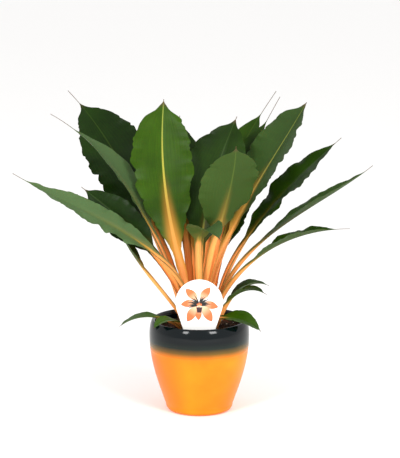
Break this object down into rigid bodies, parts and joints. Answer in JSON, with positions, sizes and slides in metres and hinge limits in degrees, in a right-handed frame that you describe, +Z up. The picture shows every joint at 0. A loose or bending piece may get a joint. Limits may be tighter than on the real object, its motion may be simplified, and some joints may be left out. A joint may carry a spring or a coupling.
{
  "type": "potted mandarin plant",
  "caption": "Leafy foliage plant with broad dark green leaves on orange stalks, in a round glazed pot with soil and a printed plant label",
  "frame": {"origin": "middle of the pot's flat foot, on the surface it stands on", "axes": "+Z up along the pot's axis, -Y towards the front with the label, +X to the right of the label"},
  "size_m": [0.4933, 0.3097, 0.4301],
  "materials": {
    "glazed_pot": "reactive glaze, glossy blue-black over satin orange",
    "potting_soil": "loose damp peat and bark",
    "crown_and_roots": "fleshy, matt",
    "label_plastic": "printed sheet plastic",
    "leaf": "waxy satin blade with orange midrib and stalk"
  },
  "bodies": {
    "root": {"glazed_pot": "glazed_pot", "potting_soil": "potting_soil", "crown_with_roots": "crown_and_roots", "plant_label": "label_plastic", "leaf_tall_centre": "leaf", "leaf_broad_back_left": "leaf", "leaf_upright_left": "leaf", "leaf_long_left": "leaf", "leaf_short_left": "leaf", "leaf_under_left": "leaf", "leaf_broad_middle": "leaf", "leaf_front_leaning": "leaf", "leaf_large_right": "leaf", "leaf_back_right_high": "leaf", "leaf_back_right_inner": "leaf", "leaf_wavy_right": "leaf", "leaf_long_right": "leaf", "leaf_level_right": "leaf", "leaf_low_right_upper": "leaf", "leaf_low_right_lower": "leaf", "leaf_over_rim_right": "leaf", "leaf_over_rim_left": "leaf", "leaf_over_rim_front": "leaf", "leaf_young_folded": "leaf", "leaf_back_tall_left": "leaf", "leaf_back_tall": "leaf", "leaf_back_tall_right": "leaf", "leaf_over_rim_back": "leaf"}
  },
  "joints": []
}
